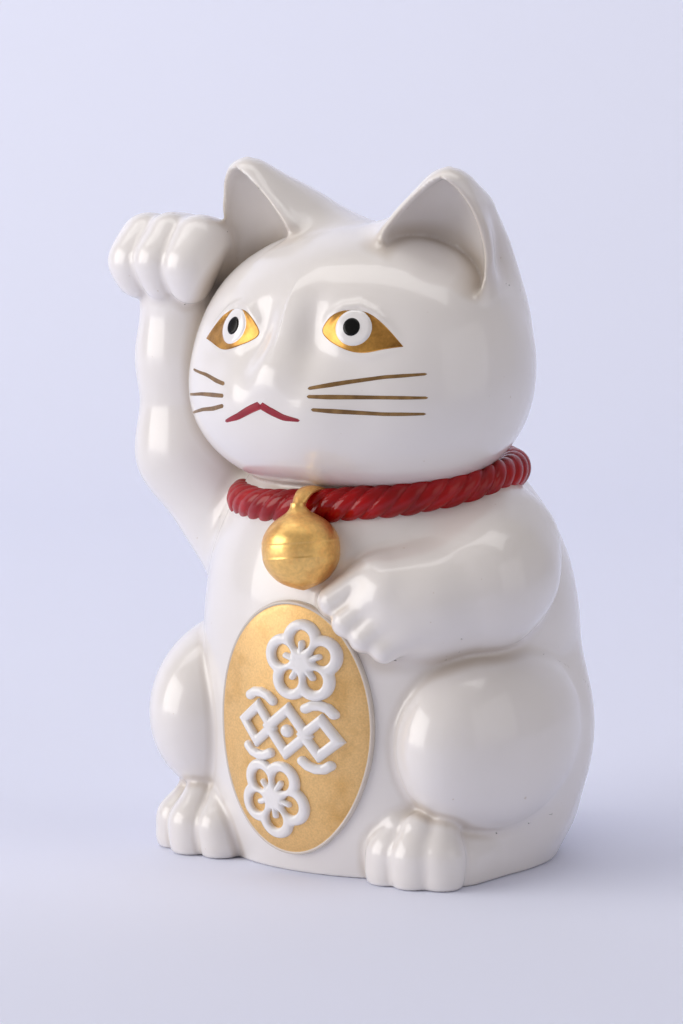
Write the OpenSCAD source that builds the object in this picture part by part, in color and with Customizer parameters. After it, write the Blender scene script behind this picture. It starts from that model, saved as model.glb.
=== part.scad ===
// Beckoning cat figurine: a hollow glazed ceramic coin bank, 20 cm tall.
// Units are millimetres. The cat faces -Y, up is +Z, the ground is z = 0 and
// the middle of the resting face is the origin. The cat's own left is +X.
//
// The clay parts are shells of one wall thickness that meet face to face on
// the joins where they are luted together before the glaze firing, and the
// hollow runs through all of them, as it does in slip-cast ware.

/* [Ceramic shell] */
// Wall thickness of the cast clay
wall = 4.5; // [3:0.5:6]
// Facets around the body and the head
facets = 48; // [32:8:96]

/* [Coin slot] */
// Length of the coin slot in the upper back
slot_length = 34; // [28:1:40]
// Height of the coin slot
slot_height = 5; // [4.5:0.5:7]
// Height of the slot's middle above the ground
slot_level = 88; // [80:1:92]

/* [Base and stopper] */
// Thickness of the base plate, whose underside is flush with the foot ring
base_thickness = 6.5; // [6:0.5:8]
// Depth of the counterbore that hides the stopper's rim
rim_recess = 2.4; // [2:0.1:3]
// Diameter of the hole the stopper closes
hole_diameter = 32; // [28:1:34]
// How far behind the origin the hole's middle is
hole_behind = 25; // [24:0.5:26]
// Clearance between the stopper and its hole, on the diameter
stopper_clearance = 0.3; // [0.2:0.1:0.8]

/* [Collar and bell] */
// Half height of the rope collar
rope_half_height = 4.9; // [4:0.1:6]
// Half thickness of the rope collar
rope_half_depth = 4.6; // [4:0.1:6]
// Twisted strands seen around the whole collar
rope_strands = 33; // [24:3:42]
// Radius of the bell
bell_radius = 11; // [8:0.5:13]

/* [Koban] */
// Length of the gold coin
koban_length = 72; // [60:1:76]
// Width of the gold coin
koban_width = 49; // [40:1:52]
// Lean of the coin's top toward the cat's left, in degrees
koban_lean = 6.5; // [0:0.5:10]
// Height of the coin above the belly
koban_rise = 1.5; // [1:0.1:2.5]
// Height of the raised ornaments above the coin
relief_rise = 1.5; // [0.8:0.1:2.5]

/* [Ears] */
// Height of the ear tips above the ground
ear_tip = 198.5; // [195:0.5:202]

/* [Hidden] */
plate_top = base_thickness;
hole_r = hole_diameter / 2;
head_c = [0, -4.5, 144.5];
glaze = [0.93, 0.91, 0.87];
gold = [0.80, 0.62, 0.27];
red = [0.66, 0.06, 0.10];

// ------------------------------------------------------------ small maths
function clamp01(t) = max(0, min(1, t));
function mixmin(a, b, k) = let (h = clamp01(0.5 + 0.5 * (b - a) / k))
  b + (a - b) * h - k * h * (1 - h);
// How far a point is outside an ellipsoid, nearly in millimetres
function egg(p, c, r) = let (q = p - c,
    a = [q.x / r.x, q.y / r.y, q.z / r.z],
    k0 = max(1e-6, norm(a)),
    k1 = max(1e-6, norm([a.x / r.x, a.y / r.y, a.z / r.z])))
  k0 * (k0 - 1) / k1;
function pod(p, a, b, r) = let (ab = b - a, t = clamp01((p - a) * ab / (ab * ab)))
  norm(p - a - t * ab) - r;
// Smooth reading of a table of rows [z, v1, v2, ...] at height z
function slope(T, i, c) = i == 0 ? (T[1][c] - T[0][c]) / (T[1][0] - T[0][0])
  : i == len(T) - 1 ? (T[i][c] - T[i-1][c]) / (T[i][0] - T[i-1][0])
  : (T[i+1][c] - T[i-1][c]) / (T[i+1][0] - T[i-1][0]);
function seg(T, z, i = 0) = i >= len(T) - 2 || z < T[i+1][0] ? i : seg(T, z, i + 1);
function reads(T, z, c) = let (i = seg(T, z), h = T[i+1][0] - T[i][0],
    t = clamp01((z - T[i][0]) / h), t2 = t * t, t3 = t2 * t)
  (2*t3 - 3*t2 + 1) * T[i][c] + (t3 - 2*t2 + t) * h * slope(T, i, c)
  + (-2*t3 + 3*t2) * T[i+1][c] + (t3 - t2) * h * slope(T, i + 1, c);

// ------------------------------------------------------------ body
// Height, half width, front, back
body_rows = [
  [-2, 49.5, -34.5, 51], [3, 51, -36, 53], [10, 54, -38.5, 59], [22, 55, -41, 62.5],
  [40, 55, -43, 64], [58, 54.5, -44, 64], [74, 53.5, -43.5, 62.5],
  [86, 51, -42, 59.5], [95, 47.5, -39, 55], [103, 43.5, -34.5, 49],
  [109, 39.5, -30, 43], [116, 33, -24, 32], [121, 28, -20, 24]];
body_levels = [-2, 4, 11, 20, 30, 41, 52, 63, 73, 81, 88, 94, 99, 104, 109, 115, 121];

function ring(z, grow, n) = let (w = reads(body_rows, z, 1) + grow,
    f = reads(body_rows, z, 2) - grow, b = reads(body_rows, z, 3) + grow)
  [for (i = [0:n-1]) let (t = 360 * i / n) [w * cos(t), (f + b) / 2 + (b - f) / 2 * sin(t), z]];

// A stack of rings with flat caps
module stack(levels, grow, n) {
  m = len(levels);
  pts = [for (z = levels) each ring(z, grow, n)];
  polyhedron(pts, [
    [for (i = [0:n-1]) i],
    for (j = [0:m-2]) for (i = [0:n-1]) let (a = j*n + i, b = j*n + (i+1) % n)
      each [[a, a + n, b + n], [a, b + n, b]],
    [for (i = [n-1:-1:0]) (m-1)*n + i]], convexity = 4);
}
module body_form(grow = 0) {
  intersection() {
    stack(body_levels, grow, facets);
    translate([-90, -90, 0]) cube([180, 180, 140]);
  }
}

// ------------------------------------------------------------ head
// The left half is mirrored: x is always the distance from the middle
function face(p) = let (q = [abs(p.x), p.y, p.z],
    a = egg(q, [0, 1.5, 1.5], [50.3, 41, 35]),
    b = egg(q, [18, -3, -12], [32, 34.5, 25.5]),
    c = egg(q, [0, -8, -15], [36, 36, 22]),
    d = egg(q, [7, -31, -7], [14, 14, 12]),
    e = pod(q, [0, -34, 14], [0, -42.5, -3.5], 4.6),
    f = egg(q, [21.5, -30.5, 10.5], [13.5, 7.5, 8]))
  mixmin(mixmin(mixmin(mixmin(mixmin(a, b, 10), c, 9), d, 9), e, 7), f, 3);
function reach(d, lo, hi, n = 12) = n == 0 ? (lo + hi) / 2
  : let (m = (lo + hi) / 2) face(d * m) > 0 ? reach(d, lo, m, n - 1) : reach(d, m, hi, n - 1);
// The head's surface about its middle, drawn in by `less`
module globe(n, m, less) {
  pts = [for (j = [1:m-1]) let (e = -90 + 180 * j / m) for (i = [0:n-1])
      let (t = 360 * i / n, d = [cos(e) * cos(t), cos(e) * sin(t), sin(e)])
      d * (reach(d, 20, 70) - less),
    [0, 0, -(reach([0, 0, -1], 20, 70) - less)], [0, 0, reach([0, 0, 1], 20, 70) - less]];
  k = (m - 1) * n;
  polyhedron(pts, [
    for (j = [0:m-3]) for (i = [0:n-1]) let (a = j*n + i, b = j*n + (i+1) % n)
      each [[a, a + n, b + n], [a, b + n, b]],
    for (i = [0:n-1]) [k, i, (i+1) % n],
    for (i = [0:n-1]) [k + 1, (m-2)*n + (i+1) % n, (m-2)*n + i]], convexity = 4);
}
module head_form() { translate(head_c) globe(facets, 26, 0); }

// ------------------------------------------------------------ ears
module ball(c, r, n = 17) { translate(c) sphere(r = r, $fn = n); }
// Rows of height below the tip, radius and middle, from the root up: the broad back, then the outer front
ear_rows = [[60, 16, 20, 3], [40, 22, 20, 3], [32, 23, 20.3, 3], [25, 21.2, 21.5, 2], [17.5, 17.4, 24.5, -0.7],
  [13, 14.2, 27.5, -3], [9, 11.4, 30.4, -5.2], [4, 6.4, 33.2, -9.3], [1.4, 3, 34.4, -11.4], [0, 0.9, 35, -12.4]];
ear_front_rows = [[60, 10, 32, -6], [45, 11, 32, -6], [30, 11.5, 33, -7], [21, 10.6, 33.2, -7.6], [15, 9.8, 33.6, -8.4],
  [9, 8.5, 34, -9.6], [3.3, 5.4, 34.1, -11.5], [1, 2.6, 34.8, -12]];
ear_n = 22;
module ear_blank(rows) {
  m = len(rows);
  pts = [for (row = rows) for (i = [0:ear_n-1])
    let (t = 360 * i / ear_n) [row[2] + row[1] * cos(t), row[3] + row[1] * sin(t), ear_tip - row[0]]];
  polyhedron(pts, [
    [for (i = [0:ear_n-1]) i],
    for (j = [0:m-2]) for (i = [0:ear_n-1]) let (a = j*ear_n + i, b = j*ear_n + (i+1) % ear_n)
      each [[a, a + ear_n, b + ear_n], [a, b + ear_n, b]],
    [for (i = [ear_n-1:-1:0]) (m-1)*ear_n + i]]);
}
// The hollow front: height below the tip, middle, half width, depth
scoop_rows = [[40, 27, 13.5, 11], [29, 27, 15, 14], [19, 26, 15, 14], [12.5, 28.7, 11.6, 10.8], [9, 30.7, 9, 8.2], [5, 32.8, 4.6, 4.3], [2, 34.4, 1.2, 1.5]];
module ear_form() {
  difference() {
    union() { ear_blank(ear_rows); ear_blank(ear_front_rows); }
    for (k = [0:len(scoop_rows)-2]) hull() for (row = [scoop_rows[k], scoop_rows[k+1]])
      translate([row[1], -12.5, ear_tip - row[0]]) linear_extrude(0.01) {
        scale([row[2], row[3]]) circle(r = 1, $fn = 26);
        translate([-row[2], -20]) square([2 * row[2], 20]);
      }
  }
}

// ------------------------------------------------------------ limbs
module haunch_form(less = 0) {
  translate([43.2, -3.5, 39.5]) scale([21.5 - less, 35.5 - less, 27.5 - less]) sphere(r = 1, $fn = 32);
}
module foot_form(less = 0) {
  hull() {
    ball([38, -19, 11.5], 11.5 - less, 20);
    ball([40, 4, 13], 12 - less, 20);
    if (less == 0) translate([39, -11, 0]) scale([11, 20, 1]) cylinder(r = 1, h = 6, $fn = 32);
  }
  if (less == 0) for (t = [[29.8, -30.8, 6], [39.2, -31.4, 6.3], [46.8, -27.8, 6]]) hull() {
    ball([t.x, t.y, 6.2], t.z, 14);
    ball([t.x, t.y + 3, 15], t.z, 14);
    translate([t.x, t.y, 0]) cylinder(r = t.z - 2, h = 4, $fn = 14);
  }
}
module raised_arm_form(less = 0) {
  hull() { ball([-44, 2, 88], 17 - less); ball([-59, -7, 113], 15.5 - less); }
  hull() { ball([-59, -7, 113], 15.5 - less); ball([-60, -9, 140], 13.5 - less); }
  hull() { ball([-60, -9, 140], 13.5 - less); ball([-60, -11, 160], 12 - less); }
}
module raised_paw_form() {
  hull() {
    ball([-65.5, -12, 166], 9.5, 18);
    ball([-54.5, -12, 166], 9.5, 18);
    ball([-60, -13, 167.5], 10.5, 18);
    ball([-60, -11, 160], 12, 18);
  }
  for (t = [[-68, 0], [-58.6, 1], [-49.2, 0]])
    hull() { ball([t.x, -20.5 - t.y, 162.5], 5.4, 14); ball([t.x, -21 - t.y, 168.5], 6.4, 14); ball([t.x, -15, 173.6], 7, 14); }
}
module holding_arm_form(less = 0) {
  hull() { ball([41, 5, 91], 16 - less, 20); ball([45.2, -8, 83], 16 - less, 20); }
  hull() { ball([45.2, -8, 83], 16 - less, 20); ball([36, -25, 79], 14.5 - less, 20); }
}
module holding_paw_form() {
  hull() { ball([36, -25, 79], 14.5); ball([30, -33, 80.5], 11.7); }
  for (f = [[[26.5, -37, 86.5], [16.8, -42.3, 79.8]], [[31.5, -37, 82.3], [22.4, -42.6, 74.4]],
            [[35.5, -36.2, 78], [27.6, -41.8, 70.6]], [[39, -34, 74], [32.2, -40, 67.4]]])
    hull() { ball(f[0], 5.4, 14); ball(f[1], 4.6, 14); }
}
module tail_form() {
  hull() { ball([0, 60, 14], 9.5); ball([9, 60, 24], 9); }
  hull() { ball([9, 60, 24], 9); ball([13, 60, 38], 7.5); }
}

// ------------------------------------------------------------ the hollow
seat_n = 64;
seat = [for (i = [0:seat_n-1]) let (t = 360 * i / seat_n)
  [(50 - wall) * cos(t), 8.5 + (43.5 - wall) * sin(t)]];
hollow_levels = [5, 12, 24, 38, 52, 66, 78, 88, 96, 104, 112, 121];
module hollow() {
  translate([0, 0, -1]) linear_extrude(plate_top + 1) polygon(seat);
  intersection() {
    union() {
      stack(hollow_levels, -wall, 36);
      for (s = [0, 1]) mirror([s, 0, 0]) { haunch_form(wall); foot_form(wall + 0.5); }
      raised_arm_form(wall);
      holding_arm_form(wall);
    }
    difference() {
      translate([-90, -90, plate_top + 0.8]) cube([180, 180, 140]);
    }
  }
  translate([0, 0, plate_top - 1]) linear_extrude(3) scale([0.93, 0.92]) polygon(seat);
  translate(head_c) globe(30, 15, wall);
}
module coin_slot() {
  translate([-slot_length/2, 40, slot_level - slot_height/2]) cube([slot_length, 40, slot_height]);
}

// ------------------------------------------------------------ collar and bell
function rope_z(x, y) = 106.6 + 0.095 * x + 0.080 * y;
rope_steps = 88;
rope_sides = 9;
function rope_point(i, j) = let (t = 360 * i / rope_steps, u = 360 * j / rope_sides,
    lobe = 1 + 0.13 * cos(3 * u - rope_strands * t),
    n = [37 * cos(t), 39.5 * sin(t)] / norm([37 * cos(t), 39.5 * sin(t)]),
    x = 39.5 * cos(t), y = 3 + 37 * sin(t), a = rope_half_depth * lobe * cos(u))
  [x + n.x * a, y + n.y * a, rope_z(x, y) + rope_half_height * lobe * sin(u)];
module rope_form() {
  n = rope_sides;
  polyhedron([for (i = [0:rope_steps-1]) for (j = [0:n-1]) rope_point(i, j)],
    [for (i = [0:rope_steps-1]) for (j = [0:n-1])
      let (a = i*n + j, b = i*n + (j+1) % n, c = ((i+1) % rope_steps)*n + j, d = ((i+1) % rope_steps)*n + (j+1) % n)
      each [[a, b, d], [a, d, c]]], convexity = 10);
}
bell_c = [6.5, -43.5, 92.5];
module bell_form() {
  translate(bell_c) rotate([0, -8, 0]) {
    scale([1, 1, 1.02]) sphere(r = bell_radius, $fn = 28);
    cylinder(r = bell_radius + 0.9, h = 2.2, center = true, $fn = 28);
    translate([0, 0, bell_radius - 2.5]) cylinder(r1 = 6, r2 = 3.2, h = 4, $fn = 20);
  }
}
module loop_form() {
  hull() { ball([5.6, -43.0, 102], 3.0, 16); ball([5.0, -41.0, 106.8], 2.4, 16); }
  hull() { ball([5.0, -41.0, 106.8], 2.4, 16); ball([4.5, -36.0, 109.2], 2.3, 16); }
}

// ------------------------------------------------------------ koban
koban_c = [1.7, 42.5];
module on_koban(depth = 40) {
  translate([koban_c.x, -20, koban_c.y]) rotate([90, 0, 0]) rotate([0, 0, -koban_lean])
    linear_extrude(depth) children();
}
module coin_outline(less = 0) { scale([koban_width/2 - less, koban_length/2 - less]) circle(r = 1, $fn = 72); }
module blossom(r) {
  for (i = [0:4]) rotate(90 + 72 * i) translate([r * 0.56, 0]) circle(r = r * 0.40, $fn = 20);
  circle(r = r * 0.42, $fn = 20);
}
module knot(w) {
  difference() {
    union() {
      rotate(45) square(w, center = true);
      for (s = [-1, 1]) translate([s * w * 0.86, 0]) rotate(45) square(w * 0.72, center = true);
      square([w * 1.9, w * 0.2], center = true);
    }
    rotate(45) square(w * 0.42, center = true);
    for (s = [-1, 1]) translate([s * w * 0.98, 0]) rotate(45) square(w * 0.26, center = true);
  }
}
// An outline raised from one height above the belly to another
module raised(from, to) {
  difference() {
    intersection() { body_form(to); on_koban() children(); }
    body_form(from);
  }
}

// ------------------------------------------------------------ the parts
module body_shell() color(glaze) resize([0, 0, 0]) difference() {
  body_form();
  head_form();
  hollow();
  coin_slot();
}
module base_plate() color(glaze) difference() {
  linear_extrude(base_thickness) polygon(seat);
  translate([0, hole_behind, -1]) cylinder(r = hole_r, h = base_thickness + 2, $fn = 96);
  translate([0, hole_behind, -1]) cylinder(r = hole_r + 4, h = rim_recess + 1, $fn = 96);
}
module head_shell() color(glaze) resize([0, 0, 0]) difference() {
  head_form();
  hollow();
}
module left_ear() color(glaze) resize([0, 0, 0]) difference() { ear_form(); head_form(); }
module right_ear() color(glaze) resize([0, 0, 0]) difference() { mirror([1, 0, 0]) ear_form(); head_form(); raised_paw_form(); }
module raised_arm() color(glaze) resize([0, 0, 0]) difference() {
  raised_arm_form();
  body_form(); head_form(); rope_form(); raised_paw_form(); hollow();
}
module raised_paw() color(glaze) resize([0, 0, 0]) difference() {
  raised_paw_form();
  head_form();
}
module holding_arm() color(glaze) resize([0, 0, 0]) difference() {
  holding_arm_form();
  body_form(); head_form(); rope_form(); holding_paw_form(); hollow();
}
module holding_paw() color(glaze) resize([0, 0, 0]) difference() {
  holding_paw_form();
  body_form(); bell_form(); hollow();
}
module left_haunch() color(glaze) resize([0, 0, 0]) difference() {
  haunch_form();
  body_form(); holding_arm_form(); holding_paw_form(); hollow();
}
module right_haunch() color(glaze) resize([0, 0, 0]) difference() {
  mirror([1, 0, 0]) haunch_form();
  body_form(); hollow();
}
module ground() { translate([-90, -90, -40]) cube([180, 180, 40]); }
module left_foot() color(glaze) resize([0, 0, 0]) difference() {
  foot_form();
  body_form(); haunch_form(); hollow(); ground();
}
module right_foot() color(glaze) resize([0, 0, 0]) difference() {
  mirror([1, 0, 0]) foot_form();
  body_form(); mirror([1, 0, 0]) haunch_form(); hollow(); ground();
}
module tail() color(glaze) resize([0, 0, 0]) difference() { tail_form(); body_form(); ground(); }
module collar_cord() color(red) resize([0, 0, 0]) difference() { rope_form(); body_form(); head_form(); bell_form(); loop_form(); }
module bell() color(gold) resize([0, 0, 0]) difference() { bell_form(); body_form(); }
module bell_loop() color(gold) resize([0, 0, 0]) difference() { loop_form(); body_form(); bell_form(); head_form(); }
module koban_plate() color(gold) resize([0, 0, 0]) difference() {
  raised(0, koban_rise) coin_outline();
  holding_paw_form(); bell_form();
}
module ornament() {
  difference() {
    raised(koban_rise, koban_rise + relief_rise) children();
    holding_paw_form();
  }
}
module koban_blossom_upper() color(glaze) resize([0, 0, 0]) ornament() translate([4.5, 20.5]) rotate(8) blossom(11.8);
module koban_knot_middle() color(glaze) resize([0, 0, 0]) ornament() translate([1.4, 0]) knot(12);
module koban_blossom_lower() color(glaze) resize([0, 0, 0]) ornament() translate([-2.6, -20.5]) rotate(44) blossom(11.8);
module base_stopper() color([0.20, 0.20, 0.22]) translate([0, hole_behind, 0]) rotate_extrude($fn = 96) polygon([
  [0, plate_top + 1.8], [hole_r - 2.2 - stopper_clearance/2, plate_top + 1.8],
  [hole_r - 0.6 - stopper_clearance/2, plate_top], [hole_r - stopper_clearance/2, plate_top - 1.5],
  [hole_r - stopper_clearance/2, rim_recess - 0.2], [hole_r + 3, rim_recess - 0.2], [hole_r + 3.4, rim_recess - 0.6],
  [hole_r + 3.4, 0.8], [hole_r + 3, 0.4], [hole_r - 3, 0.4], [hole_r - 3.2, 4], [hole_r - 4, plate_top - 0.6],
  [6, plate_top - 0.6], [5.6, 0.9], [5.1, 0.4], [0, 0.4]]);

body_shell();
base_plate();
head_shell();
left_ear();
right_ear();
raised_arm();
raised_paw();
holding_arm();
holding_paw();
left_haunch();
right_haunch();
left_foot();
right_foot();
tail();
collar_cord();
bell();
bell_loop();
koban_plate();
koban_blossom_upper();
koban_knot_middle();
koban_blossom_lower();
base_stopper();
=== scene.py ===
"""Looks, lights and camera for the beckoning cat figurine: glazed earthenware with gilding and painted marks."""
import math

import bpy
import numpy as np
from mathutils import Matrix, Vector


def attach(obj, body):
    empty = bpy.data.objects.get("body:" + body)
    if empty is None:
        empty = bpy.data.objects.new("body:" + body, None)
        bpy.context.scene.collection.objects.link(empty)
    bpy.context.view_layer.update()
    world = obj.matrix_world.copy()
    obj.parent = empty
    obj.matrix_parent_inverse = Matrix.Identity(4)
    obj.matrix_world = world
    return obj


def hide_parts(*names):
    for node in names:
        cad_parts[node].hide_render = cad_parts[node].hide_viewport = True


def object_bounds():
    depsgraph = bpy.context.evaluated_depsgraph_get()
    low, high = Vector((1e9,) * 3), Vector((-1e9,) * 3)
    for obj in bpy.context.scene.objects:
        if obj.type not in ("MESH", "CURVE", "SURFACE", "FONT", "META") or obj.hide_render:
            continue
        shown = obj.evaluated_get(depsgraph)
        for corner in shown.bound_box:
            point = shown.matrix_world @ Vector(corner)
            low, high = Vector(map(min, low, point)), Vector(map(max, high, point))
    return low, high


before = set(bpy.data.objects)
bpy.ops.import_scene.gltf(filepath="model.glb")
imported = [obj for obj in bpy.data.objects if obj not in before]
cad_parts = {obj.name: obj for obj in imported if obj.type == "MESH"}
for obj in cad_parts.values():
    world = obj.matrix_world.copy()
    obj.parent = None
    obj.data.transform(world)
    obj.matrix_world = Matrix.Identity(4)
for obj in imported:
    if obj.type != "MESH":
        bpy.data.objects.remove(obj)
lo_all, hi_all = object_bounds()
CAD_SIZE = [round(float(b - a) * 1000, 2) for a, b in zip(lo_all, hi_all)]

# ---------------------------------------------------------------- shape of the clay, in millimetres
# Each function gives how far points are outside one form. Up is +Z, the cat faces -Y, its own left is +X.
F = np.float32


def smin(a, b, k):
    h = np.clip(0.5 + 0.5 * (b - a) / k, 0, 1)
    return b + (a - b) * h - k * h * (1 - h)


def smax(a, b, k):
    return -smin(-a, -b, k)


def ell(P, c, r):
    r = np.array(r, F)
    a = (P - np.array(c, F)) / r
    k0 = np.sqrt((a * a).sum(-1)) + 1e-6
    a /= r
    k1 = np.sqrt((a * a).sum(-1)) + 1e-6
    return k0 * (k0 - 1) / k1


def cone(P, a, b, r1, r2):
    """A round cone: a ball r1 at a and a ball r2 at b, with the skin stretched between them."""
    a, b = np.array(a, F), np.array(b, F)
    ba = b - a
    l2 = float(ba @ ba)
    rr = r1 - r2
    a2 = l2 - rr * rr
    il2 = 1.0 / l2
    pa = P - a
    y = pa @ ba
    z = y - l2
    xx = pa * l2 - y[:, None] * ba
    x2 = (xx * xx).sum(-1)
    y2 = y * y * l2
    z2 = z * z * l2
    k = np.sign(rr) * rr * rr * x2
    out = (np.sqrt(np.maximum(x2 * a2 * il2, 0)) + y * rr) * il2 - r1
    out = np.where(np.sign(y) * a2 * y2 < k, np.sqrt(x2 + y2) * il2 - r1, out)
    return np.where(np.sign(z) * a2 * z2 > k, np.sqrt(x2 + z2) * il2 - r2, out)


def chain(P, pts, k=3):
    d = None
    for (a, ra), (b, rb) in zip(pts, pts[1:]):
        e = cone(P, a, b, ra, rb)
        d = e if d is None else smin(d, e, k)
    return d


def lerp(z, zs, vs):
    """Smooth reading of a table."""
    zs, vs = np.array(zs, float), np.array(vs, float)
    m = np.gradient(vs, zs)
    i = np.clip(np.searchsorted(zs, z) - 1, 0, len(zs) - 2)
    h = zs[i + 1] - zs[i]
    t = np.clip((z - zs[i]) / h, 0, 1)
    t2, t3 = t * t, t * t * t
    return ((2 * t3 - 3 * t2 + 1) * vs[i] + (t3 - 2 * t2 + t) * h * m[i]
            + (-2 * t3 + 3 * t2) * vs[i + 1] + (t3 - t2) * h * m[i + 1]).astype(F)


TZ = [-2, 3, 10, 22, 40, 58, 74, 86, 95, 103, 109, 116, 121]
TA = [49.5, 51.5, 54, 55, 55, 54.5, 53.5, 51, 47.5, 43.5, 39.5, 33, 28]
TF = [-34.5, -36, -38.5, -41, -43, -44, -43.5, -42, -39, -34.5, -30, -24, -20]
TB = [51, 54, 59, 62.5, 64, 64, 62.5, 59.5, 55, 49, 43, 32, 24]


def torso(P):
    x, y, z = P[:, 0], P[:, 1], P[:, 2]
    a, f, b = lerp(z, TZ, TA), lerp(z, TZ, TF), lerp(z, TZ, TB)
    hb = (b - f) / 2
    u, v = x / a, (y - (f + b) / 2) / hb
    k0 = np.sqrt(u * u + v * v) + 1e-6
    k1 = np.sqrt((u / a) ** 2 + (v / hb) ** 2) + 1e-6
    return smax(k0 * (k0 - 1) / k1 * 0.95, z - 121, 3)


HC = np.array([0, -4.5, 144.5], F)


def mirror(P, side=0):
    """The same points with x measured towards one side, or away from the middle."""
    x = P[:, 0] * side if side else np.sqrt(P[:, 0] ** 2 + 0.04)
    return np.stack([x, P[:, 1], P[:, 2]], 1)


def line_gap(s, t, pts):
    """Distance in a plane from points (s, t) to a polyline, and how far along it the nearest place is (0 to 1)."""
    best = np.full(s.shape, 1e9, F)
    along = np.zeros(s.shape, F)
    n = len(pts) - 1
    for i in range(n):
        ax, ay = pts[i]
        bx, by = pts[i + 1]
        dx, dy = bx - ax, by - ay
        h = np.clip(((s - ax) * dx + (t - ay) * dy) / (dx * dx + dy * dy), 0, 1)
        d = np.hypot(s - ax - h * dx, t - ay - h * dy)
        near = d < best
        best = np.where(near, d, best)
        along = np.where(near, (i + h) / n, along)
    return best, along


# the eye's own plane on the left side of the face: middle, outward (s), up (t), out of the face (n)
EYE = np.array([21.5, -39.0, 155.5], F)
EN = np.array([0.40, -0.86, 0.316], F)
EN /= np.linalg.norm(EN)
ES = np.array([-EN[1], EN[0], 0], F)
ES /= np.linalg.norm(ES)
ET = np.cross(EN, ES).astype(F)
FAR_EYE = (-3.0 * ES - 1.8 * ET).astype(F)      # the right eye sits a little lower and nearer the nose
LID_TOP = [(-9.6, 0.2), (-7.5, 3.6), (-3.5, 6.4), (1.0, 7.0), (5.5, 5.0), (9.5, 1.2), (14.0, -4.2)]
LID_LOW = [(-8.8, -1.6), (-5.0, -5.0), (0.0, -7.2), (5.0, -7.4), (10.0, -5.9), (14.0, -4.6)]


def head(P):
    Q = mirror(P)
    q = Q - HC
    w = q.copy()
    w[:, 0] = np.sqrt(P[:, 0] ** 2 + 20)
    d = smin(ell(q, (0, 1.5, 1.5), (50.3, 41, 35)), ell(w, (18, -3, -12), (32, 34.5, 25.5)), 10)
    d = smin(d, ell(q, (0, -8, -15), (36, 36, 22)), 9)
    d = smin(d, ell(w, (9.0, -29.5, -9.5), (13, 13.0, 10)), 9)        # muzzle
    d = smin(d, cone(q, (0, -26.5, 12), (0, -38.6, -3.2), 8.0, 6.6), 7)   # nose
    d = smin(d, ell(w, (7.0, -37.0, -5.6), (4.4, 6.0, 3.9)), 2.4)           # nostrils
    near = np.nonzero((np.abs(d) < 7) & (Q[:, 1] < -8) & (Q[:, 2] > 130) & (Q[:, 2] < 182))[0]
    if len(near):
        e = Q[near] - EYE - np.where(P[near, :1] < 0, 1, 0).astype(F) * FAR_EYE
        s, t, n = e @ ES, e @ ET, e @ EN
        c = d[near]
        c = c + 1.8 * np.exp(-((s + 11.8) / 4.8) ** 2 - ((t - 1.0) / 9.0) ** 2)          # hollow between nose and eye
        c = c + 0.75 * np.exp(-((s - 2) / 11.0) ** 2 - ((t + 1) / 8.0) ** 2)                     # the shallow socket
        c = c - 0.8 * np.exp(-(s / 7.0) ** 2 - ((t + 0.3) / 6.0) ** 2)                    # the eyeball's swell
        g, a = line_gap(s, t, LID_TOP)
        c = c - 0.8 * np.exp(-(g / 1.5) ** 2) * np.clip(a * 6, 0, 1) * np.clip((1 - a) * 4, 0, 1)
        g, a = line_gap(s, t, LID_LOW)
        c = c - 0.22 * np.exp(-(g / 1.3) ** 2) * np.clip(a * 6, 0, 1) * np.clip((1 - a) * 4, 0, 1)
        c = c - 0.35 * (1 - np.clip((np.hypot((s + 0.2) / 5.2, t / 5.2) - 0.86) / 0.2, 0, 1)) ** 1.0   # the white disc
        d[near] = c
    return d


EAR = np.array([(140, -4, 20, 8), (146, 9, 20, 8), (150.5, 16, 20, 8), (158.5, 19.5, 20, 8), (166.5, 20.3, 20.3, 7), (173.5, 19.6, 21.5, 4.4),
                (181, 17.2, 24.5, -0.5), (185.5, 14.2, 27.5, -3), (189.5, 11.4, 30.4, -5.2), (194.5, 6.8, 33.2, -9.3),
                (196.3, 4.9, 34.1, -10.9), (197.6, 3.1, 34.5, -11.8), (198.5, 1.2, 34.8, -12.3), (199, -0.4, 35, -12.5), (206, -16, 35, -12.4)])
# height, middle x and y, half width, half depth, turned 15 degrees outward
EAR_FRONT = np.array([(140, 30, -2, -6, -6), (150, 30, -2, 7, 5), (158, 30, -5, 9.5, 6), (165, 31.2, -8.6, 12.6, 6.5), (170, 31, -10.2, 14.7, 6.5),
                      (175, 30.2, -11, 16, 6.5), (179.5, 29.9, -12, 16.2, 6.4), (185, 31.7, -12.8, 13.6, 6.1), (188, 32.6, -13.1, 11.6, 5.8),
                      (191.5, 33.8, -13.5, 8.9, 5.3), (194, 34.4, -13.5, 6.8, 4.6), (196.1, 34.8, -13.4, 4.9, 3.7), (197.4, 34.8, -13, 3.3, 2.7),
                      (198.4, 34.7, -12.7, 1.4, 1.3), (199, 34.7, -12.7, -0.6, -0.6), (206, 34.7, -12.7, -16, -16)])
SCOOP = np.array([(150, 31, -4, 3, 3), (158, 31, -6, 8, 8), (165, 31.3, -9, 10.9, 11), (172, 31, -11, 12.9, 13), (179.5, 30.2, -12.6, 13.6, 14),
                  (185, 31.7, -13.1, 10.9, 11.6), (188, 32.6, -13.4, 8.8, 9.2), (191.5, 33.7, -13.9, 5.8, 6.2), (193.7, 34.2, -14, 3.4, 3.6),
                  (195.4, 34.5, -14, 0.8, 0.8), (196.4, 34.6, -14, -1.4, -1.4), (206, 34.6, -14, -14, -14)])


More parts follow.
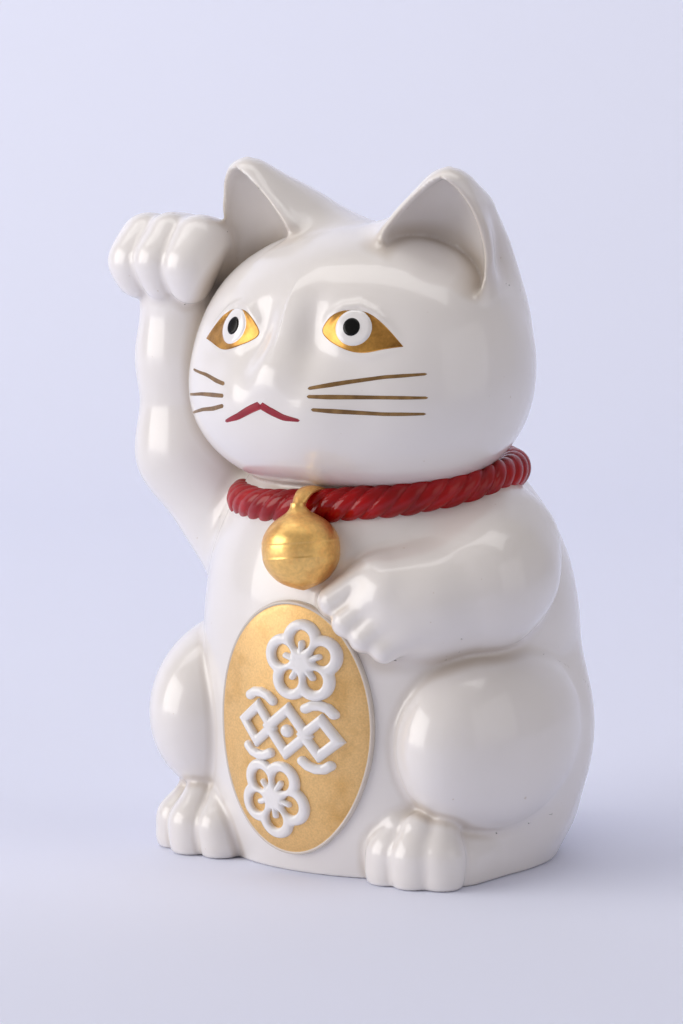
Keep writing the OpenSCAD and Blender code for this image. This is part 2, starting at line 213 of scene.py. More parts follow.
def ear_section(Q, T):
    z = Q[:, 2]
    dx, dy = Q[:, 0] - lerp(z, T[:, 0], T[:, 1]), Q[:, 1] - lerp(z, T[:, 0], T[:, 2])
    return dx * 0.966 + dy * 0.259, dy * 0.966 - dx * 0.259, lerp(z, T[:, 0], T[:, 3]), lerp(z, T[:, 0], T[:, 4])


def oval(s, t, a, b):
    sa, sb = np.maximum(a, 0.6), np.maximum(b, 0.6)
    k0 = np.sqrt((s / sa) ** 2 + (t / sb) ** 2) + 1e-6
    k1 = np.sqrt((s / sa ** 2) ** 2 + (t / sb ** 2) ** 2) + 1e-6
    return np.maximum(k0 * (k0 - 1) / k1, -sa) - np.minimum(a - 0.6, 0)


def ear_blank(P, side):
    Q = mirror(P, side)
    z = Q[:, 2]
    e = (np.hypot(Q[:, 0] - lerp(z, EAR[:, 0], EAR[:, 2]), Q[:, 1] - lerp(z, EAR[:, 0], EAR[:, 3])) - lerp(z, EAR[:, 0], EAR[:, 1])) * 0.66
    s, t, a, b = ear_section(Q, EAR_FRONT)
    return smin(e, oval(s, t, a, b * (1 + 0.85 * np.clip(t * 0.5, 0, 1))) * 0.66, 3)


def ear_scoop(P, side):
    s, t, a, b = ear_section(mirror(P, side), SCOOP)
    t = np.maximum(t, 0)
    return oval(s * (1 + 0.014 * t * (1 + np.sign(s) * 0.7)), t, a, b) * 0.75


def haunch(P, side):
    return ell(mirror(P, side), (43.2, -3.5, 39.5), (21.5, 35.5, 27.5))


TOES = {1: [(28.3, -31.6, 6.3, 15.0), (37.2, -32.0, 6.3, 15.4), (44.4, -28.8, 6.2, 14.8)],
        -1: [(31.4, -30.6, 5.9, 15.2), (41.4, -31.2, 6.2, 15.6), (50.2, -26.6, 6.0, 14.8)]}


def foot(P, side):
    Q = mirror(P, side)
    m = 38 if side > 0 else 41
    d = smin(cone(Q, (m, -18.5, 8.5), (m + 2, 4, 12), 11.5, 12), cone(Q, (m, -18, 3), (m + 1, 4, 4), 12.5, 12), 4)
    for x, y, r, z in TOES[side]:
        d = smin(d, chain(Q, [((x, y, 3.4), r + 0.2), ((x + (m - x) * 0.08, y + 0.3, 8.5), r + 0.1), ((x + (m - x) * 0.24, y + (2.4 if side > 0 else 4.4), z), r - 0.9)], 3), 1.5)
    return d


def raised_arm(P):
    return chain(P, [((-44, 2, 88), 17), ((-59, -7, 113), 15.5), ((-60, -9, 140), 13.3), ((-60, -11, 160), 12)], 6)


FINGERS = [[(-66.8, -9, 172.8, 7.4), (-68.0, -16.0, 173.4, 7.3), (-68.4, -21.4, 168.2, 6.8), (-67.8, -20.6, 163.4, 5.8)],
           [(-59.2, -9, 174.2, 7.2), (-58.8, -17.0, 174.6, 6.7), (-58.8, -23.0, 169.0, 6.2), (-58.6, -22.0, 163.0, 5.3)],
           [(-51.4, -9, 173.4, 7.6), (-49.6, -16.0, 173.4, 7.5), (-49.0, -21.2, 168.0, 7.0), (-49.4, -20.2, 162.8, 5.9)]]


def raised_paw(P):
    d = smin(cone(P, (-60, -11, 163), (-60, -12, 169), 12, 12.6), cone(P, (-66, -12, 168), (-53, -12, 168), 10, 10.3), 4)
    for f in FINGERS:
        d = smin(d, chain(P, [(c[:3], c[3]) for c in f], 5), 1.5)
    return d


def left_arm(P):
    return chain(P, [((40, 6, 92), 16.5), ((44, -3, 86.5), 16.3), ((44.5, -11, 82.5), 15.9), ((36.5, -24, 79.5), 14.6)], 9)


FING = [[(26.6, -35.6, 86.9, 5.5), (17.0, -42.2, 79.8, 4.4)],
        [(31.0, -36.2, 82.7, 5.5), (22.2, -42.9, 74.5, 4.4)],
        [(35.0, -35.6, 78.4, 5.5), (27.3, -42.0, 70.6, 4.3)],
        [(38.7, -33.2, 74.4, 5.5), (32.4, -39.6, 67.8, 4.2)]]


def left_paw(P):
    d = smin(cone(P, (37, -24, 79.2), (30.0, -32.4, 81.0), 14.6, 11.8), cone(P, (37, -24, 78), (34, -31, 75), 13, 10.5), 4)
    for f in FING:
        d = smin(d, chain(P, [(c[:3], c[3]) for c in f], 2), 2.0)
    return d


def tail(P):
    return chain(P, [((0, 60, 14), 9.5), ((9, 60, 24), 9), ((13, 60, 38), 7.5)], 5)


NAMES = ["body_shell", "head_shell", "left_ear", "right_ear", "left_haunch", "right_haunch", "left_foot", "right_foot",
         "raised_arm", "raised_paw", "holding_arm", "holding_paw", "tail"]


def parts(P):
    P = P.astype(F, copy=False)
    return [torso(P), head(P), ear_blank(P, 1), ear_blank(P, -1), haunch(P, 1), haunch(P, -1), foot(P, 1), foot(P, -1),
            raised_arm(P), raised_paw(P), left_arm(P), left_paw(P), tail(P)]


def field(P, D=None, body_only=False):
    """The whole cat's outer skin, with its forms run into one another as they are in the clay."""
    P = P.astype(F, copy=False)
    D = parts(P) if D is None else D
    t, h, el, er, hl, hr, fl, fr, ra, rp, la, lp, tl = D
    x, y, z = P[:, 0], P[:, 1], P[:, 2]
    back = np.clip((y - 0.45 * (z - 30)) / 26, 0, 1)
    kb = 2.0 + 14.6 * back * back * (3 - 2 * back)                       # the haunches run out into the back
    g = smin(t, la, 3.5 + 3.5 * np.clip((z - 84) / 14, 0, 1))
    g = smin(g, lp, 4)
    g = smin(g, hl, kb)
    g = smin(g, hr, kb)
    g = smin(g, np.minimum(fl, fr), 2.0)
    g = smin(g, tl, 4)
    g = smin(g, smin(ra, rp, 2.0), 6)
    scoop = np.minimum(ear_scoop(P, 1), ear_scoop(P, -1))
    ears = np.minimum(el, er)
    kf = 3.2 + 4.5 * np.clip((y + 18) / 14, 0, 1)                       # crisp in front, running out behind
    e = smin(h, ears, kf)
    kc = np.clip((2.4 - scoop - e) / 2.4, 0.02, 1)
    e = smax(e, -scoop, 2.2)
    w = np.clip((7 - ears) / 4, 0, 1)
    g = smin(g, h + (smin(h, e, kc) - h) * w, 1.6)
    return smax(g, -P[:, 2], 0.9)


# ---------------------------------------------------------------- from a field to meshes
STEP = 0.8
WALL = 4.5


def by_chunks(fn, P, size=120000):
    out = [fn(P[i:i + size]) for i in range(0, len(P), size)]
    if isinstance(out[0], tuple):
        return tuple(np.concatenate(x) for x in zip(*out))
    return np.concatenate(out)


def cat_field(P, D=None):
    """The fired clay: the skin less the hollow, the seat of the base plate and the coin slot."""
    P = P.astype(F, copy=False)
    D = parts(P) if D is None else D
    g = field(P, D)
    x, y, z = P[:, 0], P[:, 1], P[:, 2]
    cut = smax(g + WALL, 7.6 - z, 1.0)
    k = np.hypot(x / 45.55, (y - 8.5) / 39.05)
    cut = np.minimum(cut, smax((k - 1) * 41, z - 6.5, 0.3))
    k = np.hypot(x / 42.3, (y - 7.8) / 36.0)
    cut = np.minimum(cut, smax((k - 1) * 38, z - 9.5, 0.3))
    slot = smax(smax(np.abs(x) - 17, np.abs(z - 88) - 2.5, 1.5), 44 - y, 0.5)
    cut = np.minimum(cut, slot)
    return smax(g, -cut, 0.5)


def cat_labels(P):
    P = P.astype(F, copy=False)
    D = parts(P)
    s = cat_field(P, D)
    D = np.stack(D)
    lab = D.argmin(0)
    two = np.partition(D, 1, axis=0)[:2]
    return s, lab.astype(np.int16), (two[1] - two[0]).astype(F)


def nets(fn, lo, hi, h, margin, block=4):
    """Surface nets of a field with labels: vertices shared by every label, and for each label its closed faces."""
    lo, hi = np.array(lo, float), np.array(hi, float)
    nb = np.ceil((hi - lo) / h / block).astype(int)
    n = nb * block
    ix = np.stack(np.meshgrid(*[np.arange(k) for k in nb], indexing="ij"), -1).reshape(-1, 3)
    s, _, _ = by_chunks(fn, (lo + (ix + 0.5) * block * h).astype(F))
    act = (np.abs(s) < margin + block * h * 0.87).reshape(nb)
    m = np.zeros(n + 1, bool)
    m[:-1, :-1, :-1] = act.repeat(block, 0).repeat(block, 1).repeat(block, 2)
    m[1:] |= m[:-1].copy()
    m[:, 1:] |= m[:, :-1].copy()
    m[:, :, 1:] |= m[:, :, :-1].copy()
    at = np.argwhere(m)
    s, lab, mar = by_chunks(fn, (lo + at * h).astype(F))
    S = np.full(n + 1, 1.0, F)
    L = np.full(n + 1, -1, np.int16)
    M = np.zeros(n + 1, F)
    S[m] = s
    L[m] = np.where(s < 0, lab, -1)
    M[m] = mar
    rows, quads = [], []
    for a in range(3):
        b, c = (a + 1) % 3, (a + 2) % 3
        cut0 = [slice(None)] * 3
        cut1 = [slice(None)] * 3
        cut0[a], cut1[a] = slice(0, -1), slice(1, None)
        cut0, cut1 = tuple(cut0), tuple(cut1)
        e = np.argwhere(L[cut0] != L[cut1])
        q = e.copy()
        q[:, a] += 1
        i0, i1 = tuple(e.T), tuple(q.T)
        la, lb, s0, s1 = L[i0], L[i1], S[i0], S[i1]
        air = (la < 0) | (lb < 0)
        t = np.where(air, s0 / np.where(s0 == s1, 1, s0 - s1), M[i0] / np.maximum(M[i0] + M[i1], 1e-6))
        p = e.astype(F)
        p[:, a] += np.clip(t, 0.02, 0.98)
        cells = []
        for db, dc in ((-1, -1), (0, -1), (0, 0), (-1, 0)):
            r = e.copy()
            r[:, b] += db
            r[:, c] += dc
            cells.append((r[:, 0] * n[1] + r[:, 1]) * n[2] + r[:, 2])
        cells = np.stack(cells, 1)
        rows.append((cells, p, air))
        quads.append((cells, la, lb))
    ncell = int(n[0] * n[1] * n[2])
    used = np.zeros(ncell, bool)
    for cells, _, _ in rows:
        used[cells.ravel()] = True
    vid = np.cumsum(used, dtype=np.int64) - 1
    nv = int(vid[-1]) + 1
    tot = np.zeros(nv)
    sm = np.zeros((nv, 3))
    skin = np.zeros(nv, bool)
    for cells, p, air in rows:
        v = vid[cells]
        for k in range(4):
            tot += np.bincount(v[:, k], minlength=nv)
            for d in range(3):
                sm[:, d] += np.bincount(v[:, k], weights=p[:, d], minlength=nv)
            skin[v[air, k]] = True
    V = lo + sm / tot[:, None] * h
    faces = {}
    for cells, la, lb in quads:
        v = vid[cells]
        for l in np.unique(np.concatenate([la, lb])):
            if l < 0:
                continue
            faces.setdefault(int(l), []).append(v[la == l])
            faces[int(l)].append(v[lb == l][:, ::-1])
    return V, skin, {l: np.concatenate(f) for l, f in faces.items()}


TET = np.array([[1, 1, 1], [1, -1, -1], [-1, 1, -1], [-1, -1, 1]], F)


def slope(fn, P, eps):
    """The field's gradient."""
    g = np.zeros((len(P), 3))
    for k in TET:
        g += by_chunks(fn, (P + k * eps).astype(F))[:, None] * k
    return g / (4 * eps)


def settle(fn, P, h, rounds=2):
    """Points pulled onto the skin, and the skin's normals there."""
    P = P.copy()
    for _ in range(rounds):
        s = by_chunks(fn, P.astype(F))
        g = slope(fn, P, 0.25 * h)
        g /= np.maximum((g * g).sum(1), 0.05)[:, None]
        P -= np.clip(s, -0.5 * h, 0.5 * h)[:, None] * g
    g = slope(fn, P, 0.22)
    return P, g / np.maximum(np.linalg.norm(g, axis=1), 1e-6)[:, None]


def coarser(V, Q, loose, cell):
    """The unseen inner wall's small faces gathered into larger ones."""
    key = np.floor(V[loose] / cell).astype(np.int64)
    key = (key[:, 0] * 4096 + key[:, 1]) * 4096 + key[:, 2]
    _, inv = np.unique(key, return_inverse=True)
    n = inv.max() + 1
    cnt = np.bincount(inv, minlength=n)
    mean = np.stack([np.bincount(inv, weights=V[loose][:, d], minlength=n) / cnt for d in range(3)], 1)
    to = np.arange(len(V))
    to[np.nonzero(loose)[0]] = len(V) + inv
    return np.concatenate([V, mean]), to[Q]


def make(name, V, faces, normals=None, crease_shade=None, smooth=True, parts_of=None):
    """A mesh object. faces is a list of arrays, one for each number of corners. V is in millimetres."""
    loops = np.concatenate([f.ravel() for f in faces])
    size = np.concatenate([np.full(len(f), f.shape[1]) for f in faces])
    used = np.zeros(len(V), bool)
    used[loops] = True
    to = np.cumsum(used) - 1
    me = bpy.data.meshes.new(name)
    me.vertices.add(int(used.sum()))
    me.vertices.foreach_set("co", (V[used] * 0.001).astype(F).ravel())
    me.loops.add(len(loops))
    me.loops.foreach_set("vertex_index", to[loops].astype(np.int32))
    me.polygons.add(len(size))
    me.polygons.foreach_set("loop_start", np.concatenate([[0], np.cumsum(size)[:-1]]).astype(np.int32))
    me.update(calc_edges=True)
    # per-point crease value, kept on the mesh: real glaze pooling plus painted shade in hollows
    if crease_shade is not None:
        a = me.attributes.new("pooling_and_shade", "FLOAT", "POINT")
        a.data.foreach_set("value", crease_shade[used].astype(F))
    me.polygons.foreach_set("use_smooth", np.full(len(size), smooth))
    if normals is not None:
        me.normals_split_custom_set_from_vertices(normals[used].tolist())
    ob = bpy.data.objects.new(name, me)
    bpy.context.scene.collection.objects.link(ob)
    return ob


def fit_out(ob, slot, mat, *nodes):
    ob.data.materials.clear()
    ob.data.materials.append(mat)
    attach(ob, "figurine")
    if nodes:
        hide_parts(*nodes)
    return ob


def tidy_quads(Q):
    """Squares split by how many corners they still have: whole squares and triangles."""
    a, b, c, d = Q.T
    bad = (a == c) | (b == d)
    same = np.stack([a == b, b == c, c == d, d == a], 1)
    n = same.sum(1)
    quads = Q[(n == 0) & ~bad]
    tris = []
    for k in range(4):
        s = (n == 1) & same[:, k] & ~bad
        tris.append(np.delete(Q[s], (k + 1) % 4, axis=1))
    return [quads, np.concatenate(tris)]


# ---------------------------------------------------------------- materials
def rgb(r, g, b):
    return tuple(((v / 255 + 0.055) / 1.055) ** 2.4 if v > 10 else v / 255 / 12.92 for v in (r, g, b)) + (1,)


def material(name, rough, metallic=0.0, coat=0.0, coat_rough=0.05, ior=1.5):
    m = bpy.data.materials.new(name)
    m.use_nodes = True
    b = m.node_tree.nodes["Principled BSDF"]
    b.inputs["Roughness"].default_value = rough
    b.inputs["Metallic"].default_value = metallic
    b.inputs["Coat Weight"].default_value = coat
    b.inputs["Coat Roughness"].default_value = coat_rough
    b.inputs["IOR"].default_value = ior
    return m, m.node_tree, b


def noise(t, scale, detail=3.0, rough=0.55):
    co = t.nodes.new("ShaderNodeTexCoord")
    n = t.nodes.new("ShaderNodeTexNoise")
    n.inputs["Scale"].default_value = scale
    n.inputs["Detail"].default_value = detail
    n.inputs["Roughness"].default_value = rough
    t.links.new(co.outputs["Object"], n.inputs["Vector"])
    return n.outputs["Fac"]


def ramp(t, fac, stops):
    r = t.nodes.new("ShaderNodeValToRGB")
    e = r.color_ramp.elements
    while len(e) < len(stops):
        e.new(0.5)
    for k, (p, c) in zip(e, stops):
        k.position = p
        k.color = c if len(c) == 4 else tuple(c) + (1,)
    t.links.new(fac, r.inputs["Fac"])
    return r.outputs["Color"]


def mix(t, fac, a, b, how="MIX"):
    m = t.nodes.new("ShaderNodeMix")
    m.data_type = "RGBA"
    m.blend_type = how
    for sock, v in ((m.inputs["Factor"], fac), (m.inputs["A"], a), (m.inputs["B"], b)):
        if isinstance(v, (int, float)):
            sock.default_value = v
        elif isinstance(v, tuple):
            sock.default_value = v
        else:
            t.links.new(v, sock)
    return m.outputs["Result"]


def grey(v):
    return (v, v, v, 1)


def bump(t, b, height, strength, distance):
    n = t.nodes.new("ShaderNodeBump")
    n.inputs["Strength"].default_value = strength
    n.inputs["Distance"].default_value = distance
    t.links.new(height, n.inputs["Height"])
    t.links.new(n.outputs["Normal"], b.inputs["Normal"])


def glaze_material(name="ivory_glaze_look"):
    m, t, b = material(name, 0.28, coat=0.75, coat_rough=0.04)
    a = t.nodes.new("ShaderNodeAttribute")
    a.attribute_name = "pooling_and_shade"
    base = ramp(t, noise(t, 18, 2), [(0.3, rgb(229, 224, 220)), (0.7, rgb(236, 232, 230))])
    # glaze made darker and warmer where the crease value is low: partly real glaze pooling, partly painted shade in
    # creases and recesses
    pooling_and_shade = ramp(t, a.outputs["Fac"], [(0.25, rgb(196, 180, 156)), (0.62, rgb(224, 216, 206)), (0.9, rgb(255, 255, 255))])
    col = mix(t, 0.55, base, pooling_and_shade, "MULTIPLY")
    speck = ramp(t, noise(t, 420, 2, 0.4), [(0.0, grey(1)), (0.775, grey(1)), (0.80, rgb(190, 165, 130))])
    col = mix(t, 0.35, col, speck, "MULTIPLY")
    t.links.new(col, b.inputs["Base Color"])
    bump(t, b, noise(t, 38, 2), 0.18, 0.0012)
    return m


def gold_material(name, rough, light, dark, metallic=0.85, grain=900, worn=0.62):
    m, t, b = material(name, rough, metallic)
    col = ramp(t, noise(t, 75, 4, 0.6), [(0.30, dark), (worn, light)])
    fine = ramp(t, noise(t, grain, 2, 0.5), [(0.3, grey(0.80)), (0.7, grey(1.0))])
    t.links.new(mix(t, 0.8, col, fine, "MULTIPLY"), b.inputs["Base Color"])
    r = ramp(t, noise(t, 120, 3), [(0.3, grey(max(rough - 0.08, 0.05))), (0.7, grey(rough + 0.1))])
    t.links.new(r, b.inputs["Roughness"])
    bump(t, b, noise(t, 500, 3), 0.35, 0.0002)
    return m


def plain_material(name, colour, rough, other=None, scale=60, coat=0.0, bumpy=0.0, metallic=0.0):
    m, t, b = material(name, rough, metallic, coat=coat)
    col = ramp(t, noise(t, scale, 3), [(0.3, other or colour), (0.7, colour)])
    t.links.new(col, b.inputs["Base Color"])
    if bumpy:
        bump(t, b, noise(t, 700, 3), bumpy, 0.0003)
    return m

PUPIL_SLOT = "stopper_rubber"
BROWN_SLOT = "gilding"


# ---------------------------------------------------------------- the clay
NODES = {i: n for i, n in enumerate(NAMES)}
V, skin, faces = nets(cat_labels, (-79, -58, -2.4), (70, 74, 203), STEP, 4.5)
V[skin], N_skin = settle(cat_field, V[skin], STEP)
V[:, 2] = np.maximum(V[:, 2], 0.0)
NRM = np.zeros_like(V)
NRM[:, 2] = 1
NRM[skin] = N_skin
G_at = np.full(len(V), -10.0)
G_at[skin] = by_chunks(field, V[skin].astype(F))
# painted shade in creases, partly real glaze pooling: near 1 on open skin and lower in hollows, where the field stays
# small a few millimetres outward
pooling_and_shade = np.ones(len(V))
out = skin & (G_at > -1.5)
k1 = by_chunks(field, (V[out] + NRM[out] * 2.0).astype(F)) / 2.0
k2 = by_chunks(field, (V[out] + NRM[out] * 5.0).astype(F)) / 5.0
pooling_and_shade[out] = np.clip(0.5 * k1 + 0.5 * k2, 0, 1)

GLAZE = glaze_material()
count = np.zeros(len(V), int)
for f in faces.values():
    u = np.unique(f)
    count[u] += 1
inner = skin & (G_at < -3.2) & (V[:, 2] > 13) & (count == 1) & ~((V[:, 1] > 38) & (np.abs(V[:, 2] - 88) < 7) & (np.abs(V[:, 0]) < 22))
for l, f in sorted(faces.items()):
    name = NODES[l]
    if len(f) < 60:
        continue
    mine = np.zeros(len(V), bool)
    mine[np.unique(f)] = True
    V2, Q2 = coarser(V, f, inner & mine, 3.2) if (inner & mine).any() else (V, f)
    extra = len(V2) - len(V)
    N2 = np.concatenate([NRM, np.zeros((extra, 3))])
    if extra:
        N2[len(V):] = -slope(field, V2[len(V):], 0.5)
        N2[len(V):] /= np.maximum(np.linalg.norm(N2[len(V):], axis=1), 1e-6)[:, None]
    ob = make("clay_" + name, V2, tidy_quads(Q2), N2, np.concatenate([pooling_and_shade, np.full(extra, 0.7)]))
    fit_out(ob, "ivory_glaze", GLAZE, name)
    print("PIECE", ob.name, len(ob.data.polygons), sum(len(p.vertices) - 2 for p in ob.data.polygons))


# ---------------------------------------------------------------- forms laid on the clay
def drop(fn, P, way, far=6.0, lift=0.0):
    """Points moved along a direction until they meet the skin, starting far outside."""
    way = np.broadcast_to(np.array(way, float), P.shape)
    P = P - way * far
    for _ in range(40):
        P = P + way * np.clip(by_chunks(fn, P.astype(F)) - lift, -1.5, 3.0)[:, None] * 0.9
    return P


def film(name, pts, rise, shape, wrap=False, centre=False, under=0.35, fn=None):
    """A thin closed sheet of paint. pts is a grid of rows and columns on the skin; rise is how proud it stands."""
    fn = fn or cat_field
    P = pts.reshape(-1, 3)
    n = slope(fn, P, 0.4)
    n /= np.linalg.norm(n, axis=1)[:, None]
    P = P - by_chunks(fn, P.astype(F))[:, None] * n
    r, c = shape
    top = P + n * rise.reshape(-1, 1)
    low = P - n * under
    idx = np.arange(r * c).reshape(r, c)
    nx = np.roll(idx, -1, 1) if wrap else idx[:, 1:]
    a = idx if wrap else idx[:, :-1]
    q = np.stack([a[:-1], nx[:-1], nx[1:], a[1:]], -1).reshape(-1, 4)
    m = r * c
    fs = [q, q[:, ::-1] + m]

    def wall(loop, closed):
        l = np.array(loop)
        k = np.roll(l, -1) if closed else l[1:]
        l = l if closed else l[:-1]
        fs.append(np.stack([l + m, k + m, k, l], -1))
    V = np.concatenate([top, low])
    tris = np.zeros((0, 3), int)
    if wrap:
        wall(idx[0][::-1], True)
        if centre:                    # the last row closes on one point
            ct = top[idx[-1]].mean(0)
            cl = low[idx[-1]].mean(0)
            V = np.concatenate([V, [ct, cl]])
            k = idx[-1]
            tris = np.concatenate([np.stack([k, np.roll(k, -1), np.full(c, 2 * m)], -1),
                                   np.stack([np.roll(k, -1) + m, k + m, np.full(c, 2 * m + 1)], -1)])
        else:
            wall(idx[-1], True)
    else:
        ring = np.concatenate([idx[0], idx[1:, -1], idx[-1][::-1][1:], idx[1:-1, 0][::-1]])
        wall(ring[::-1], True)
    # outward faces: turn everything over if the top faces point inwards
    f0 = q[len(q) // 2]
    e = np.cross(V[f0[1]] - V[f0[0]], V[f0[2]] - V[f0[0]])
    if e @ n[f0[0]] < 0:
        fs = [x[:, ::-1] for x in fs]
        tris = tris[:, ::-1]
    return make(name, V, [x for x in [np.concatenate(fs), tris] if len(x)])


def smooth_loop(pts, n, corners=()):
    """A closed outline drawn smoothly through a few points, with sharp corners where they are named."""
    pts = np.array(pts, float)
    m = len(pts)
    res = []
    for i in range(m):
        p0, p1, p2, p3 = pts[(i - 1) % m], pts[i], pts[(i + 1) % m], pts[(i + 2) % m]
        t1 = (p2 - p0) / 2 if i not in corners else (p2 - p1) * 0.8
        t2 = (p3 - p1) / 2 if (i + 1) % m not in corners else (p2 - p1) * 0.8
        t = np.linspace(0, 1, n, endpoint=False)[:, None]
        res.append((2 * t**3 - 3 * t**2 + 1) * p1 + (t**3 - 2 * t**2 + t) * t1
                   + (-2 * t**3 + 3 * t**2) * p2 + (t**3 - t**2) * t2)
    return np.concatenate(res)


def eye_points(st, side):
    P = EYE + st[:, :1] * ES + st[:, 1:] * ET + (FAR_EYE if side < 0 else 0)
    P = P * np.array([side, 1, 1])
    way = -EN * np.array([side, 1, 1])
    return drop(cat_field, P, way, 5.0)


def patch(name, outline, middle, side, rise, rings, mat, slot):
    """A painted shape about one middle point, in the eye's plane."""
    middle = np.array(middle, float)
    k = np.linspace(1, 0, rings, endpoint=False)
    st = np.concatenate([middle + (outline - middle) * r for r in k])
    P = eye_points(st, side)
    c = len(outline)
    edge = np.repeat(np.minimum(1, (1 - k) * rings / 1.6 * 0.7 + 0.25), c)
    ob = film(name, P, rise * edge, (rings, c), wrap=True, centre=True)
    return fit_out(ob, slot, mat)


GOLD = gold_material("gilding_look", 0.37, rgb(255, 208, 128), rgb(230, 158, 84), worn=0.52)
GOLD_PAINT = gold_material("gilding_paint_look", 0.33, rgb(222, 166, 84), rgb(118, 74, 30), metallic=0.75, grain=1500)
GOLD_FLAT = gold_material("gilding_field_look", 0.42, rgb(240, 198, 134), rgb(222, 176, 108), metallic=0.6, grain=1800, worn=0.5)
WHITE = plain_material("white_relief_look", rgb(240, 238, 238), 0.14, rgb(234, 231, 230), 50, coat=0.6)
RED = plain_material("red_enamel_look", rgb(176, 0, 8), 0.42, rgb(126, 0, 4), 90, coat=0.6)
RED.node_tree.nodes["Principled BSDF"].inputs["Coat Roughness"].default_value = 0.04
RED.node_tree.nodes["Principled BSDF"].inputs["Specular IOR Level"].default_value = 0.08
LIP = plain_material("red_lip_look", rgb(160, 14, 38), 0.3, rgb(130, 8, 28), 200)
BLACK = plain_material("black_enamel_look", rgb(7, 7, 8), 0.22, rgb(12, 12, 13), 80)
BROWN = plain_material("whisker_brown_look", rgb(154, 120, 72), 0.4, rgb(116, 86, 50), 300, metallic=0.3)
BLACK.node_tree.nodes["Principled BSDF"].inputs["IOR"].default_value = 1.33

ALMOND = smooth_loop([(-9.3, 0.0), (-7.6, 2.9), (-4.6, 4.8), (-1.0, 5.4), (3.2, 4.8), (6.5, 2.9), (10.0, -0.2), (14.0, -4.5),
                      (9.0, -5.5), (4.0, -6.6), (0.0, -6.4), (-4.0, -4.9), (-7.4, -2.7)], 7, corners=(7,))
for side, who in ((1, "left"), (-1, "right")):
    patch("painted_" + who + "_eye_gold", ALMOND, (0.3, -0.3), side, 0.16, 18, GOLD_PAINT, "gilding")
    a = np.linspace(0, 2 * np.pi, 72, endpoint=False)
    disc = np.stack([np.cos(a) * 5.2, np.sin(a) * 5.2 + 0.3], -1)
    patch("painted_" + who + "_eye_white", disc, (0, 0.3), side, 0.42, 12, WHITE, "white_relief")
    pup = np.stack([np.cos(a) * 2.6 - 0.5, np.sin(a) * 2.8 + 0.4], -1)
    ob = patch("painted_" + who + "_pupil", pup, (-0.5, 0.4), side, 0.72, 8, BLACK, PUPIL_SLOT)


def stroke(name, line, width, rise, way, mat, slot, fn=None, across=7):
    """A brush stroke along a line of points dropped on the skin. width and rise run along it."""
    line = np.array(line, float)
    seg = np.concatenate([[0], np.cumsum(np.linalg.norm(np.diff(line, axis=0), axis=1))])
    n = max(12, int(seg[-1] / 0.5))
    u = np.linspace(0, 1, n)
    t = u * seg[-1]
    mid = np.stack([np.interp(t, seg, line[:, d]) for d in range(3)], 1)
    for _ in range(3):
        mid[1:-1] = (mid[:-2] + 2 * mid[1:-1] + mid[2:]) / 4
    mid = drop(fn or cat_field, mid, way, 6)
    tan = np.gradient(mid, axis=0)
    tan /= np.linalg.norm(tan, axis=1)[:, None]
    nn = slope(fn or cat_field, mid, 0.4)
    nn /= np.linalg.norm(nn, axis=1)[:, None]
    side = np.cross(nn, tan)
    side /= np.linalg.norm(side, axis=1)[:, None]
    w = np.interp(u, np.linspace(0, 1, len(width)), width) / 2
    w = w * np.sqrt(np.clip(1 - np.clip(1 - u * seg[-1] / 0.6, 0, 1) ** 2, 0.04, 1))
    w = w * np.sqrt(np.clip(1 - np.clip(1 - (1 - u) * seg[-1] / 0.6, 0, 1) ** 2, 0.04, 1))
    s = np.linspace(-1, 1, across)
    P = mid[:, None] + side[:, None] * (s[None, :, None] * w[:, None, None])
    r = rise * (0.25 + 0.75 * np.sqrt(1 - s ** 2 * 0.98))
    R = np.broadcast_to(r, (n, across)) * np.clip(w[:, None] / w.max() * 1.4, 0.3, 1)
    ob = film(name, P, np.array(R), (n, across), fn=fn)
    return fit_out(ob, slot, mat)


def face_ray(u, v, yy=-45.0):
    """A place on the plane y = yy that shows at a given point of the view."""
    P = cam_at + (R_ * ((u - 341.5) / FOC) - U_ * ((v - 512) / FOC) - B_)
    d = P - cam_at
    return cam_at + d * ((yy - cam_at[1]) / d[1])


AZ, EL, DIST, FOC = math.radians(36), math.radians(8), 1365.0, 4743.0
R_ = np.array([math.cos(AZ), math.sin(AZ), 0])
U_ = np.array([-math.sin(AZ) * math.sin(EL), math.cos(AZ) * math.sin(EL), math.cos(EL)])
B_ = np.array([math.sin(AZ) * math.cos(EL), -math.cos(AZ) * math.cos(EL), math.sin(EL)])
cam_at = R_ * -8.78 + U_ * 97.6 + B_ * DIST


def seen(pts):
    """Points of the skin under places given in the main view."""
    P = np.array([face_ray(u, v) for u, v in pts])
    d = P - cam_at
    d /= np.linalg.norm(d, axis=1)[:, None]
    return drop(cat_field, P, d, 40.0)


WHISKERS = [[(307.7, 388.6), (345, 382.5), (385, 377), (427, 374)],
            [(306.8, 396.6), (346, 397.2), (386, 397.6), (428, 397.8)],
            [(311, 409.7), (345, 412.0), (384, 414.2), (426, 414.0)]]
FAR_WHISKERS = [[(224.5, 384), (216, 380.5), (206, 374.5), (193.5, 369.2)],
                [(223.5, 395.8), (212, 394.8), (201, 393.9), (190.0, 394.4)],
                [(223.5, 405.6), (213, 408.6), (203, 409.4), (193.0, 412.7)]]
for i, w in enumerate(WHISKERS):
    stroke("painted_left_whisker_%d" % (i + 1), seen(w), (0.9, 1.3, 1.15, 1.0, 1.0, 0.7), 0.12, (0, 1, 0), BROWN, BROWN_SLOT)
for i, w in enumerate(FAR_WHISKERS):
    stroke("painted_right_whisker_%d" % (i + 1), seen(w), (1.1, 1.25, 1.05, 0.85, 0.7), 0.12, (0, 1, 0), BROWN, BROWN_SLOT)
MOUTH = seen([(225.4, 421.4), (238, 416.5), (250, 409.5), (260.2, 405.0), (270, 411), (283, 417.6), (299.7, 420.7)])
